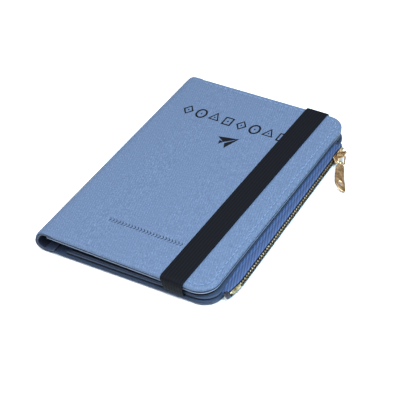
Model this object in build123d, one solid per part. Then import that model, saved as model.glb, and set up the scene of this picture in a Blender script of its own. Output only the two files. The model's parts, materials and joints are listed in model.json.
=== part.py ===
from build123d import *
from math import atan2, cos, degrees, radians, sin
import os

# Passport holder wallet: two stiffened leather covers joined by a rolled spine, an elastic band
# that holds it shut, and a coin pocket with a metal zip along the fore edge of the back cover.
#
# Millimetres. X runs across the closed wallet from the spine (-X) to the fore edge (+X), Y along
# the spine from foot to head, and Z up from the back cover's outer face, which lies on Z = 0.
# The origin is the centre of that face. The stack is thicker at the spine than at the fore edge,
# so the front cover is drawn level at the spine's height and then tilted about the spine roll.

# Closed size
LENGTH = 140.0
WIDTH = 96.0
SPINE_THICK = 12.2
FORE_THICK = 9.4
FORE_CORNER = 9.5

# Leather, board and lining thicknesses
SKIN = 1.0
BACK_BOARD = 0.7
FRONT_BOARD = 1.1
BACK_LINING = 0.6
FRONT_LINING = 0.8
INTERLINING = 0.3
INTERLINING_INSET = 1.2
GUTTER_LINING = 0.7
HEM = 3.0               # turned-in leather between a board's edge and the cover's edge

# Spine roll and its two fold lines
ROLL_R = SPINE_THICK / 2
ROLL_X = -WIDTH / 2 + ROLL_R
FOLD_ANGLE = 45.0       # the middle strip spans this much each side of the roll's outermost line
FOLD_GAP = 1.5          # degrees left open at each side of a fold
PANEL_X = -38.0         # where the stiff panels start, clear of the roll
FRONT_LINING_X = -41.0
BOARD_SETBACK = 0.5     # from the panels' spine side

# Card slots on the inside of the front cover
CARD_SLOT = 0.3
CARD_SLOT_TOPS = (25.0, 5.0, -15.0)
CARD_SLOT_INSET = 1.5

# Coin pocket and passport sleeve on the inside of the back cover
POCKET_SPACE = 1.0
POCKET_PANEL = 0.8
POCKET_X = -31.0
POCKET_INSET = 0.6
GUSSET_INSET = 0.8
GUSSET_WIDTH = 2.5
SLEEVE = 0.5
SLEEVE_X = -28.0
SLEEVE_MOUTH = 0.9      # height of the sleeve's mouth, on its spine side
SLEEVE_INSET = 1.0

# Elastic band
BAND_WIDTH = 12.0
BAND_THICK = 0.75
BAND_X = 29.75
BAND_SKEW = -0.95       # degrees about Z
BAND_GAP = 0.15
TAIL_GAP = 0.05          # between the back lining and a sewn tail
BAND_EDGE_GAP = 0.35
BAND_BEND = 0.6
BAND_SLOT = 1.0         # width left beside the band in the pocket's seam
BAND_FOOT_LIFT = 2.6    # where the free run ends above its sewn tails, before it is tilted
TAIL_LENGTH = 8.0

# Zip. The chain's face looks outwards and up; N is its normal and A runs across it, upwards.
CHAIN_X = 52.62
CHAIN_Z = 3.1
CHAIN_FACE = 25.0       # degrees above the horizontal
ZIP_SKEW = 1.1          # degrees about Z: the zip runs inwards towards the head
TAPE = 0.5
TAPE_ROOT_X = 44.0
TAPE_FOLD_X = 48.9      # the upper tape bends here when the mouth opens
TAPE_JOINT_GAP = 0.15
TAPE_CREST = (50.0, 3.95)
TAPE_DIP = ((49.6, 2.55), (50.8, 1.35), (52.3, 0.85))
TAPE_FOOT = -60.5
TAPE_HEAD = 56.5
TAPE_TURNS = (0.6, 0.3)  # runs of the upper and the lower tape beside the teeth, square to them
MOUTH_FOOT = -60.5
MOUTH_HEAD = 57.0
TOOTH_PITCH = 1.8
TOOTH_THICK = 0.72
TOOTH_REACH = 0.3       # how far a tooth passes the chain's centre line
TOOTH_SHOULDER = 0.4
TOOTH_ROOT = 1.0
TOOTH_TIP_HALF = 0.35
TOOTH_HALF_DEPTH = 0.75
TEETH_FOOT = -52.9
BOTTOM_STOP_ROUND = 0.25
TOP_STOP_ROUND = 0.2
BOTTOM_STOP = (-59.6, -53.6)
BOTTOM_STOP_HALF = (0.95, 0.97)
TOP_STOP = (53.6, 55.8)
TOP_STOP_SPAN = (0.2, 0.97)
TAPE_END = (-62.8, -60.8)
TAPE_END_SPAN = (-1.3, 1.9)
TAPE_END_HALF = 0.5

# Slider and pull
SLIDER_Y = 48.0
SLIDER_LENGTH = 9.4
SLIDER_HALF_WIDTH = 2.0
SLIDER_CORNER = 1.4
BACK_PLATE_HALF = 0.8
BACK_PLATE_CORNER = 0.5
FLANGE = 0.4
FLANGE_IN = 0.5
FLANGE_HALF_LENGTH = 3.0
POST = (2.6, 4.0)       # the post's ends, ahead of the slider's centre
POST_HALF = 0.6
PLATE_IN = 0.95
PLATE_OUT = 1.75
BRIDGE_HALF = 0.5
BRIDGE_TOP = 5.35
BRIDGE_OPENING = (-0.8, 2.0)
BRIDGE_ENDS = (-1.8, 3.0)
BRIDGE_OPENING_TOP = 4.6
BRIDGE_BENDS = (0.9, 0.4)
LINK_N = 3.25           # the link's bar sits this far out from the chain's centre
LINK_A = 0.2            # and this far across it, resting against one side of the bridge
LINK_Y = 0.4            # and this far ahead of the slider's centre
PULL_YAW = 22.0         # the pull lies turned outwards, drooping and rolled towards the table
PULL_DROOP = 6.0
PULL_ROLL = 27.0
LINK_WIRE = 0.42
LINK_LENGTH = 6.3
LINK_HALF_WIDTH = 2.05
LINK_CORNER = 1.0
BARREL_HALF = 0.9
BARREL_R = 1.0
BARREL_BORE = 0.5
TAB_THICK = 0.9
TAB_SHOULDER = 2.0      # from the barrel to the tab's full width

HALF = LENGTH / 2
FORE_X = WIDTH / 2
TILT = degrees(atan2(SPINE_THICK - FORE_THICK, FORE_X - ROLL_X))
FRONT_X = ROLL_X + (FORE_X - ROLL_X - ROLL_R * sin(radians(TILT))) / cos(radians(TILT))
N = Vector(cos(radians(CHAIN_FACE)), 0, sin(radians(CHAIN_FACE)))
A = Vector(-sin(radians(CHAIN_FACE)), 0, cos(radians(CHAIN_FACE)))
CHAIN = Vector(CHAIN_X, 0, CHAIN_Z)


# ---- shared shapes

def panel_face(x_low, x_high, inset=0.0, y_low=None, y_high=None):
    """Outline of a cover layer, its fore corners rounded, at a given inset from the cover's edge."""
    low = -HALF + inset if y_low is None else y_low
    high = HALF - inset if y_high is None else y_high
    face = Pos((x_low + x_high) / 2, (low + high) / 2) * Rectangle(x_high - x_low, high - low)
    fore = face.vertices().group_by(Axis.X)[-1]
    rounded = [v for v in fore if abs(v.Y) > HALF - FORE_CORNER]
    return fillet(rounded, FORE_CORNER - inset) if rounded else face


def slab(face, z_low, z_high):
    """A flat layer between two heights."""
    return Pos(0, 0, z_low) * extrude(face, z_high - z_low, dir=(0, 0, 1))


def along_spine(profile, y_low=-HALF, y_high=HALF):
    """Extrudes a section drawn in X and Z along the spine's direction."""
    plane = Plane(origin=(0, y_high, 0), x_dir=(1, 0, 0), z_dir=(0, -1, 0))
    return extrude(plane * profile, y_high - y_low, dir=(0, -1, 0))


def along_chain(profile, y_low, y_high):
    """Extrudes a section drawn in the chain's N and A directions along the zip."""
    plane = Plane(origin=(CHAIN_X, y_high, CHAIN_Z), x_dir=N, z_dir=(0, -1, 0))
    return extrude(plane * profile, y_high - y_low, dir=(0, -1, 0))


def skew_zip(shape):
    """Turns a zip piece in towards the head."""
    return shape.rotate(Axis((CHAIN_X, 0, 0), (0, 0, 1)), ZIP_SKEW)


def section(*corners):
    """A filled polygon."""
    return make_face(Polyline(*corners, close=True))


def block(n_low, n_high, a_low, a_high):
    """A rectangle in the chain's N and A directions."""
    return section((n_low, a_low), (n_high, a_low), (n_high, a_high), (n_low, a_high))


def roll_sector(r_in, r_out, start, end):
    """Part of the spine roll's wall: angles in degrees from +X, seen from the foot."""
    centre = (ROLL_X, ROLL_R)
    outer = CenterArc(centre, r_out, start, end - start)
    inner = CenterArc(centre, r_in, start, end - start)
    sides = [Line(outer @ 0, inner @ 0), Line(outer @ 1, inner @ 1)]
    return make_face([outer, inner, *sides])


def ribbon(points, thick):
    """A bent strip of even thickness along a line of points in X and Z."""
    line = [Vector(*p) for p in points]
    left, right = [], []
    for i, point in enumerate(line):
        before = (point - line[i - 1]).normalized() if i else (line[1] - line[0]).normalized()
        after = (line[i + 1] - point).normalized() if i + 1 < len(line) else before
        along = (before + after).normalized()
        across = Vector(-along.Y, along.X) * (thick / 2 / along.dot(after))
        left.append(point + across)
        right.append(point - across)
    return section(*[(p.X, p.Y) for p in left + right[::-1]])


def tilt(shape):
    """Lays a front cover layer down from level to its closed slope."""
    return shape.rotate(Axis((ROLL_X, 0, ROLL_R), (0, 1, 0)), TILT)


def write(name, shape):
    export_step(shape, f"parts/{name}.step")


# ---- back cover

BOARD_LOW = SKIN
BOARD_HIGH = BOARD_LOW + BACK_BOARD
LINING_HIGH = BOARD_HIGH + BACK_LINING


def back_board():
    face = panel_face(PANEL_X + BOARD_SETBACK, FORE_X - HEM, HEM)
    return slab(face, BOARD_LOW, BOARD_HIGH)


def back_skin():
    """Outer leather with its turned-in hem, and the lower part of the roll."""
    flat = slab(panel_face(ROLL_X, FORE_X), 0, BOARD_LOW)
    hem = slab(panel_face(PANEL_X, FORE_X), BOARD_LOW, BOARD_HIGH) - back_board()
    sector = roll_sector(ROLL_R - SKIN, ROLL_R, 180 + FOLD_ANGLE + FOLD_GAP, 270)
    return flat + hem + along_spine(sector)


def back_lining():
    return slab(panel_face(PANEL_X + BOARD_SETBACK, FORE_X), BOARD_HIGH, LINING_HIGH)


def gutter_lining_back():
    """Lining of the roll where it runs on to the back cover."""
    outer = ROLL_R - SKIN
    sector = roll_sector(outer - GUTTER_LINING, outer, 180 + FOLD_ANGLE + FOLD_GAP, 270)
    low = ROLL_R - outer
    strip = section(
        (ROLL_X, low), (PANEL_X, low), (PANEL_X, low + GUTTER_LINING), (ROLL_X, low + GUTTER_LINING)
    )
    return along_spine(sector) + along_spine(strip)


# ---- coin pocket and passport sleeve

POCKET_LOW = LINING_HIGH + POCKET_SPACE
POCKET_HIGH = POCKET_LOW + POCKET_PANEL


def band_slot():
    """Room for the band's sewn tails through the pocket's seam."""
    slot = Box(BAND_WIDTH + BAND_SLOT, 2 * LENGTH, POCKET_SPACE)
    return skew(Pos(BAND_X, 0, LINING_HIGH + POCKET_SPACE / 2) * slot)


def pocket_gusset():
    """The seam strip that closes the coin pocket, left open at the zip and at the band's tails."""
    outer = panel_face(POCKET_X, FORE_X - GUSSET_INSET, GUSSET_INSET)
    inset = GUSSET_INSET + GUSSET_WIDTH
    inner = panel_face(POCKET_X + GUSSET_WIDTH, FORE_X - inset, inset)
    ring = slab(outer - inner, LINING_HIGH, POCKET_LOW)
    reach = FORE_X - TAPE_ROOT_X + TAPE
    mouth = Box(2 * reach, MOUTH_HEAD - MOUTH_FOOT + 2 * GUSSET_WIDTH, LENGTH)
    return ring - Pos(FORE_X, (MOUTH_FOOT + MOUTH_HEAD) / 2, 0) * mouth - band_slot()


def pocket_panel():
    face = panel_face(POCKET_X, FORE_X - POCKET_INSET, POCKET_INSET)
    return slab(face, POCKET_LOW, POCKET_HIGH)


def passport_sleeve():
    """Sheet sewn down along the fore edge, with its mouth towards the spine."""
    fore = FORE_X - SLEEVE_INSET
    low = POCKET_HIGH
    profile = section(
        (SLEEVE_X, low + SLEEVE_MOUTH), (fore, low), (fore, low + SLEEVE),
        (SLEEVE_X, low + SLEEVE_MOUTH + SLEEVE),
    )
    outline = panel_face(SLEEVE_X, fore, SLEEVE_INSET)
    return along_spine(profile) & slab(outline, low, low + SLEEVE_MOUTH + SLEEVE)


# ---- spine strip

def spine_sector(r_in, r_out):
    low = 180 - FOLD_ANGLE + FOLD_GAP
    high = 180 + FOLD_ANGLE - FOLD_GAP
    return along_spine(roll_sector(r_in, r_out, low, high))


def spine_skin():
    return spine_sector(ROLL_R - SKIN, ROLL_R)


def spine_lining():
    return spine_sector(ROLL_R - SKIN - GUTTER_LINING, ROLL_R - SKIN)


# ---- front cover, drawn level with its top at the spine's height

FRONT_TOP = SPINE_THICK
FRONT_BOARD_HIGH = FRONT_TOP - SKIN
FRONT_BOARD_LOW = FRONT_BOARD_HIGH - FRONT_BOARD
FRONT_LINING_HIGH = FRONT_BOARD_LOW - INTERLINING
FRONT_LINING_LOW = FRONT_LINING_HIGH - FRONT_LINING
FRONT_ROLL_END = 180 - FOLD_ANGLE - FOLD_GAP + TILT


def level_front_board():
    face = panel_face(PANEL_X + BOARD_SETBACK, FRONT_X - HEM, HEM)
    return slab(face, FRONT_BOARD_LOW, FRONT_BOARD_HIGH)


def front_skin():
    """Outer leather with its turned-in hem, and the upper part of the roll."""
    flat = slab(panel_face(ROLL_X, FRONT_X), FRONT_BOARD_HIGH, FRONT_TOP)
    hem = slab(panel_face(PANEL_X, FRONT_X), FRONT_BOARD_LOW, FRONT_BOARD_HIGH)
    sector = roll_sector(ROLL_R - SKIN, ROLL_R, 90, FRONT_ROLL_END)
    return tilt(flat + (hem - level_front_board()) + along_spine(sector))


def front_board():
    return tilt(level_front_board())


def front_interlining():
    """Bonded cloth between board and lining, set back from the edge."""
    inset = INTERLINING_INSET
    face = panel_face(PANEL_X, FRONT_X - inset, inset)
    return tilt(slab(face, FRONT_LINING_HIGH, FRONT_BOARD_LOW))


def front_lining():
    return tilt(slab(panel_face(FRONT_LINING_X, FRONT_X), FRONT_LINING_LOW, FRONT_LINING_HIGH))


def gutter_lining_front():
    """Lining of the roll where it runs on to the front cover."""
    outer = ROLL_R - SKIN
    sector = roll_sector(outer - GUTTER_LINING, outer, 90, FRONT_ROLL_END)
    high = FRONT_BOARD_HIGH
    strip = section(
        (ROLL_X, high - GUTTER_LINING), (PANEL_X, high - GUTTER_LINING), (PANEL_X, high),
        (ROLL_X, high),
    )
    return tilt(along_spine(sector) + along_spine(strip))


def card_slot(level, top):
    """One card slot: a sheet open at the top, the lowest level lying nearest the lining."""
    high = FRONT_LINING_LOW - level * CARD_SLOT
    inset = CARD_SLOT_INSET
    face = panel_face(PANEL_X + inset, FRONT_X - inset, inset, y_high=top)
    return tilt(slab(face, high - CARD_SLOT, high))


# ---- elastic band

TAIL_LOW = LINING_HIGH + TAIL_GAP
TAIL_HIGH = TAIL_LOW + BAND_THICK


def skew(shape):
    return shape.rotate(Axis((BAND_X, 0, 0), (0, 0, 1)), BAND_SKEW)


def elastic_band():
    """The band's free run: over the front cover and down past the head and foot edges."""
    inner_y = HALF + BAND_EDGE_GAP
    inner_z = FRONT_TOP + BAND_GAP
    foot_z = TAIL_HIGH + BAND_FOOT_LIFT
    tall = inner_z + BAND_THICK - foot_z
    outer = Pos(0, foot_z + tall / 2) * Rectangle(2 * (inner_y + BAND_THICK), tall)
    outer = fillet(outer.vertices().group_by(Axis.Y)[-1], BAND_BEND + BAND_THICK)
    inner = Pos(0, foot_z + (inner_z - foot_z) / 2) * Rectangle(2 * inner_y, inner_z - foot_z)
    inner = fillet(inner.vertices().group_by(Axis.Y)[-1], BAND_BEND)
    plane = Plane(origin=(BAND_X - BAND_WIDTH / 2, 0, 0), x_dir=(0, 1, 0), z_dir=(1, 0, 0))
    return skew(tilt(extrude(plane * (outer - inner), BAND_WIDTH, dir=(1, 0, 0))))


def band_tail(side):
    """One sewn end of the band, from inside the pocket's seam to the cover's edge."""
    high = HALF + BAND_EDGE_GAP + BAND_THICK
    low = HALF - TAIL_LENGTH
    middle = side * (high + low) / 2
    tail = Pos(BAND_X, middle, (TAIL_LOW + TAIL_HIGH) / 2) * Box(
        BAND_WIDTH, high - low, BAND_THICK
    )
    return skew(tail)


# ---- zip tapes and chain

def chain_point(n, a):
    """X and Z of a point given by its distances along N and A from the chain's centre."""
    return (CHAIN_X + n * N.X + a * A.X, CHAIN_Z + n * N.Z + a * A.Z)


def chain_ends(side):
    """A tape's last two points, square to the teeth that hold it."""
    turn = TOOTH_ROOT + TAPE_TURNS[0 if side > 0 else 1]
    return [chain_point(0, side * turn), chain_point(0, side * TOOTH_ROOT)]


def zip_tape_root():
    """The part of the upper tape that is sewn under the pocket panel."""
    low, end = POCKET_LOW - TAPE, TAPE_FOLD_X - TAPE_JOINT_GAP
    strip = section((TAPE_ROOT_X, low), (end, low), (end, POCKET_LOW), (TAPE_ROOT_X, POCKET_LOW))
    return along_spine(strip, TAPE_FOOT, TAPE_HEAD)


def zip_tape_upper():
    """The part of the upper tape that lifts when the zip is open."""
    start = (TAPE_FOLD_X + TAPE_JOINT_GAP, POCKET_LOW - TAPE / 2)
    line = [start, TAPE_CREST, *chain_ends(1)]
    return along_spine(ribbon(line, TAPE), TAPE_FOOT, TAPE_HEAD)


def zip_tape_lower():
    """The lower tape, sewn to the lining, dipping under the chain."""
    line = [(TAPE_ROOT_X, LINING_HIGH + TAPE / 2), *TAPE_DIP, *chain_ends(-1)]
    return along_spine(ribbon(line, TAPE), TAPE_FOOT, TAPE_HEAD)


def tooth(side):
    """Section of one tooth, its tip on the chain's centre line; side is +1 above and -1 below."""
    right = [
        (TOOTH_TIP_HALF, -TOOTH_REACH), (TOOTH_HALF_DEPTH, TOOTH_SHOULDER),
        (TOOTH_HALF_DEPTH, TOOTH_ROOT),
    ]
    left = [(-n, a) for n, a in reversed(right)]
    return section(*[(n, side * a) for n, a in right + left])


def zip_teeth(side):
    """A row of teeth; the two rows are half a pitch apart, so that they mesh."""
    first = TEETH_FOOT + (TOOTH_PITCH / 2 if side < 0 else 0)
    count = int((SLIDER_Y + POST[0] - TOOTH_PITCH / 2 - first) / TOOTH_PITCH)
    one = along_chain(tooth(side), 0, TOOTH_THICK)
    places = [first + i * TOOTH_PITCH for i in range(count)]
    return Compound(children=[skew_zip(Pos(0, y, 0) * one) for y in places])


def zip_bottom_stop():
    """Square box stop at the foot end, with softened edges."""
    n, a = BOTTOM_STOP_HALF
    return fillet(along_chain(block(-n, n, -a, a), *BOTTOM_STOP).edges(), BOTTOM_STOP_ROUND)


def zip_tape_end():
    """Sealed film at the tapes' foot end."""
    return along_chain(block(-TAPE_END_HALF, TAPE_END_HALF, *TAPE_END_SPAN), *TAPE_END)


def zip_top_stop(side):
    low, high = sorted(side * a for a in TOP_STOP_SPAN)
    half = TOOTH_HALF_DEPTH
    return fillet(along_chain(block(-half, half, low, high), *TOP_STOP).edges(), TOP_STOP_ROUND)


# ---- slider

def slider_plane(n):
    """Plane parallel to the slider's face: its local X runs along A and its local Y along +Y."""
    origin = CHAIN + N * n + Vector(0, SLIDER_Y, 0)
    return Plane(origin=origin, x_dir=A, z_dir=A.cross(Vector(0, 1, 0)))


def slider_plate(n_low, n_high, half_width, corner):
    face = fillet(Rectangle(2 * half_width, SLIDER_LENGTH).vertices(), corner)
    return extrude(slider_plane(n_low) * face, n_high - n_low, dir=N)


def slider_body():
    """Front plate with side flanges, back plate, and the post between them that parts the teeth."""
    front = slider_plate(PLATE_IN, PLATE_OUT, SLIDER_HALF_WIDTH, SLIDER_CORNER)
    back = slider_plate(-PLATE_OUT, -PLATE_IN, BACK_PLATE_HALF, BACK_PLATE_CORNER)
    post_section = block(-PLATE_IN, PLATE_IN, -POST_HALF, POST_HALF)
    post = along_chain(post_section, SLIDER_Y + POST[0], SLIDER_Y + POST[1])
    return front + back + post + [flange(side) for side in (-1, 1)]


def flange(side):
    """One turned-down edge of the front plate."""
    edges = sorted((side * (SLIDER_HALF_WIDTH - FLANGE), side * SLIDER_HALF_WIDTH))
    low, high = SLIDER_Y - FLANGE_HALF_LENGTH, SLIDER_Y + FLANGE_HALF_LENGTH
    return along_chain(block(FLANGE_IN, PLATE_IN, *edges), low, high)


def slider_bridge():
    """Arched bridge on the front plate, with the opening that the pull's link passes through."""
    low, high = BRIDGE_ENDS
    outer = section((low, PLATE_OUT), (high, PLATE_OUT), (high, BRIDGE_TOP), (low, BRIDGE_TOP))
    outer = fillet(outer.vertices().group_by(Axis.Y)[-1], BRIDGE_BENDS[0])
    left, right = BRIDGE_OPENING
    inner = section(
        (left, PLATE_OUT), (right, PLATE_OUT), (right, BRIDGE_OPENING_TOP),
        (left, BRIDGE_OPENING_TOP),
    )
    inner = fillet(inner.vertices().group_by(Axis.Y)[-1], BRIDGE_BENDS[1])
    origin = CHAIN + Vector(0, SLIDER_Y, 0) - A * BRIDGE_HALF
    plane = Plane(origin=origin, x_dir=(0, 1, 0), z_dir=Vector(0, 1, 0).cross(N))
    return extrude(plane * (outer - inner), 2 * BRIDGE_HALF, dir=A)


# ---- pull: a wire link through the bridge, and a flat tab rolled round the link's end

LINK_REACH = N * LINK_N + A * LINK_A + Vector(0, SLIDER_Y + LINK_Y, 0)
LINK_AT = CHAIN + LINK_REACH.rotate(Axis.Z, ZIP_SKEW)


def pull_axes():
    """Unit vectors along the pull, across it and out of its face."""
    droop, yaw, roll = radians(PULL_DROOP), radians(PULL_YAW), radians(PULL_ROLL)
    along = Vector(sin(yaw) * cos(droop), -cos(yaw) * cos(droop), -sin(droop))
    level = Vector(cos(yaw), sin(yaw), 0)
    face = level.cross(along).normalized() * -1
    across = level * cos(roll) - face * sin(roll)
    return along, across.normalized()


def pull_surface(offset=0.0):
    along, across = pull_axes()
    up = along.cross(across).normalized()
    return Plane(origin=LINK_AT + up * offset, x_dir=along, z_dir=up)


def pull_link():
    """Closed wire link, a rounded rectangle."""
    plane = pull_surface()
    shape = Pos(LINK_LENGTH / 2, 0) * Rectangle(LINK_LENGTH, 2 * LINK_HALF_WIDTH)
    path = (plane * fillet(shape.vertices(), LINK_CORNER)).wire()
    start = path @ 0
    section_plane = Plane(origin=start, z_dir=path % 0)
    return sweep(section_plane * Circle(LINK_WIRE), path=path)


def tab_outline():
    """Leaf-shaped tab with a slanted lower end: length along the pull, then distance across it."""
    start, neck = LINK_LENGTH + BARREL_R / 2, BARREL_HALF
    wide = start + TAB_SHOULDER
    left = Spline((wide, -2.3), (15.7, -2.4), (20.5, -1.8))
    end = Spline((20.5, -1.8), (23.7, 0.4), (24.8, 2.9))
    tip = Line((24.8, 2.9), (24.2, 3.6))
    right = Spline((24.2, 3.6), (19.2, 3.1), (13.8, 2.2), (wide, 2.1))
    top = Polyline((wide, 2.1), (start, neck), (start, -neck), (wide, -2.3))
    return make_face([left, end, tip, right, top])


def tab_hole():
    """Almond-shaped hole beside the slanted end."""
    low, high = (18.4, -0.6), (21.6, 1.9)
    one = ThreePointArc(low, (19.5, 1.2), high)
    other = ThreePointArc(high, (20.4, 0.1), low)
    return make_face([one, other])


def pull_tab():
    plate = extrude(
        pull_surface(-TAB_THICK / 2) * (tab_outline() - tab_hole()), TAB_THICK,
        dir=pull_surface().z_dir,
    )
    along, across = pull_axes()
    centre = LINK_AT + along * LINK_LENGTH - across * BARREL_HALF
    barrel_plane = Plane(origin=centre, x_dir=along, z_dir=across)
    barrel = extrude(barrel_plane * Circle(BARREL_R), 2 * BARREL_HALF, dir=across)
    bore = extrude(barrel_plane * Circle(BARREL_BORE), 2 * BARREL_HALF, dir=across)
    return plate + barrel - bore


# ---- all pieces

def main():
    os.makedirs("parts", exist_ok=True)
    write("back_skin", back_skin())
    write("back_board", back_board())
    write("back_lining", back_lining())
    write("gutter_lining_back", gutter_lining_back())
    write("pocket_gusset", pocket_gusset())
    write("pocket_panel", pocket_panel())
    write("passport_sleeve", passport_sleeve())
    write("spine_skin", spine_skin())
    write("spine_lining", spine_lining())
    write("front_skin", front_skin())
    write("front_board", front_board())
    write("front_interlining", front_interlining())
    write("front_lining", front_lining())
    write("gutter_lining_front", gutter_lining_front())
    for level, top in enumerate(CARD_SLOT_TOPS):
        write(f"card_slot_{level + 1}", card_slot(level, top))
    write("elastic_band", elastic_band())
    write("band_tail_head", band_tail(1))
    write("band_tail_foot", band_tail(-1))
    write("zip_tape_root", skew_zip(zip_tape_root()))
    write("zip_tape_upper", skew_zip(zip_tape_upper()))
    write("zip_tape_lower", skew_zip(zip_tape_lower()))
    write("zip_teeth_upper", zip_teeth(1))
    write("zip_teeth_lower", zip_teeth(-1))
    write("zip_bottom_stop", skew_zip(zip_bottom_stop()))
    write("zip_tape_end", skew_zip(zip_tape_end()))
    write("zip_top_stop_upper", skew_zip(zip_top_stop(1)))
    write("zip_top_stop_lower", skew_zip(zip_top_stop(-1)))
    write("slider_body", skew_zip(slider_body()))
    write("slider_bridge", skew_zip(slider_bridge()))
    write("pull_link", pull_link())
    write("pull_tab", pull_tab())


main()
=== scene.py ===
"""Passport holder wallet: soft parts, zip, stitching and every material, built round the CAD frame."""
import json
from math import atan2, cos, exp, pi, radians, sin, sqrt

import bmesh
import bpy
from mathutils import Matrix, Vector, noise


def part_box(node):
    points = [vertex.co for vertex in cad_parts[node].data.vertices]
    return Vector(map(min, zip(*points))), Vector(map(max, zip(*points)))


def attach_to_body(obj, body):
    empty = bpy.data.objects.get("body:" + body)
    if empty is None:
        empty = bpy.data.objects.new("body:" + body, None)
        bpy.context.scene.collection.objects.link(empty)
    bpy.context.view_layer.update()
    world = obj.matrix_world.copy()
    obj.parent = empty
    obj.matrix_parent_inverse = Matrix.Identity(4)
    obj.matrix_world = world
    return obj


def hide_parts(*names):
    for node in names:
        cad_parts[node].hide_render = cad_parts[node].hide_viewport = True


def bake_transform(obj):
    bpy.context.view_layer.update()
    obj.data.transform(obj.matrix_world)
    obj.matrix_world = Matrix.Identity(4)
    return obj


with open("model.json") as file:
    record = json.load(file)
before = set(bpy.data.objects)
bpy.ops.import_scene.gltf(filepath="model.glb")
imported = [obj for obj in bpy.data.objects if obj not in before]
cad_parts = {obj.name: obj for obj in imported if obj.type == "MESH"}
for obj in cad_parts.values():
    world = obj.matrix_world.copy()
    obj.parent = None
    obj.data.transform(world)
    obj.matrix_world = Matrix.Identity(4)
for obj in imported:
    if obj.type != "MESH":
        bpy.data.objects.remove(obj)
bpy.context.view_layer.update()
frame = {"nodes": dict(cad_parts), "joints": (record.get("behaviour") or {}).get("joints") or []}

MM = 0.001

# ---- sizes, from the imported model

SPINE_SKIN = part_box("spine_skin")
FRONT_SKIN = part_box("front_skin")
BACK_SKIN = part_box("back_skin")
BACK_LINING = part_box("back_lining")
POCKET_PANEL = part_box("pocket_panel")
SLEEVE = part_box("passport_sleeve")
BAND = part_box("elastic_band")
TAIL_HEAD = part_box("band_tail_head")
TAIL_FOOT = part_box("band_tail_foot")
TAPE_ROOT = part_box("zip_tape_root")
BOTTOM_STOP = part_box("zip_bottom_stop")
TOP_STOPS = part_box("zip_top_stop_upper"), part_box("zip_top_stop_lower")

HALF = BACK_SKIN[1].y
FORE = BACK_SKIN[1].x
SPINE_TOP = FRONT_SKIN[1].z
ROLL_R = SPINE_TOP / 2
ROLL_X = SPINE_SKIN[0].x + ROLL_R
FORE_TOP = 9.4 * MM
TILT = atan2(SPINE_TOP - FORE_TOP, FORE - ROLL_X)
CORNER = 9.5 * MM
SKIN = 1.0 * MM
BACK_WRAP = 1.7 * MM
FRONT_WRAP = 2.1 * MM
PANEL_X = -38.0 * MM
BACK_ARC = ROLL_R * pi / 2
FRONT_ARC = ROLL_R * (pi / 2 + TILT)
FRONT_LENGTH = (FORE - ROLL_X - ROLL_R * sin(TILT)) / cos(TILT)


# ---- mesh helpers

def make(name, verts, faces, materials, face_materials=None, smooth=True):
    """A mesh object from points in metres."""
    mesh = bpy.data.meshes.new(name)
    mesh.from_pydata([tuple(v) for v in verts], [], faces)
    obj = bpy.data.objects.new(name, mesh)
    bpy.context.scene.collection.objects.link(obj)
    for material in materials:
        mesh.materials.append(material)
    if face_materials:
        mesh.polygons.foreach_set("material_index", face_materials)
    if smooth:
        mesh.polygons.foreach_set("use_smooth", [True] * len(mesh.polygons))
    bm = bmesh.new()
    bm.from_mesh(mesh)
    bmesh.ops.recalc_face_normals(bm, faces=bm.faces)
    bm.to_mesh(mesh)
    bm.free()
    return obj


def attach(piece, body, slot, *nodes):
    """Fixes a piece to one body and hides the CAD nodes that it stands for. slot is not used."""
    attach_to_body(piece, body)
    if nodes:
        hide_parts(*nodes)


def ring_faces(first, rings, around, closed=False):
    """Quads between rings of points that follow each other, from the point numbered first."""
    faces = []
    for i in range(rings if closed else rings - 1):
        here, there = first + i * around, first + (i + 1) % rings * around
        for k in range(around):
            n = (k + 1) % around
            faces.append([here + k, here + n, there + n, there + k])
    return faces


def heading(points, i):
    """The direction of an open line at one of its points."""
    return (points[min(len(points) - 1, i + 1)] - points[max(0, i - 1)]).normalized()


def smoothstep(t):
    t = min(1.0, max(0.0, t))
    return t * t * (3 - 2 * t)


def spread(low, high, count):
    """Evenly spaced values, both ends included."""
    return [low + (high - low) * i / (count - 1) for i in range(count)]


def catmull(points, per_span):
    """A smooth line through points of any dimension."""
    pts = [Vector(p) for p in points]
    pts = [pts[0] * 2 - pts[1], *pts, pts[-1] * 2 - pts[-2]]
    line = []
    for a, b, c, d in zip(pts, pts[1:], pts[2:], pts[3:]):
        for k in range(per_span):
            t = k / per_span
            line.append(
                0.5 * (2 * b + (c - a) * t + (2 * a - 5 * b + 4 * c - d) * t * t
                       + (3 * b - a - 3 * c + d) * t ** 3)
            )
    return line + [pts[-2]]


def convert(obj):
    """Applies an object's modifiers or curve settings, leaving a plain mesh."""
    depsgraph = bpy.context.evaluated_depsgraph_get()
    mesh = bpy.data.meshes.new_from_object(obj.evaluated_get(depsgraph))
    name = obj.name
    fresh = bpy.data.objects.new(name + "_mesh", mesh)
    fresh.matrix_world = obj.matrix_world.copy()
    bpy.context.scene.collection.objects.link(fresh)
    bpy.data.objects.remove(obj)
    fresh.name = name
    mesh.polygons.foreach_set("use_smooth", [True] * len(mesh.polygons))
    return fresh


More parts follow.
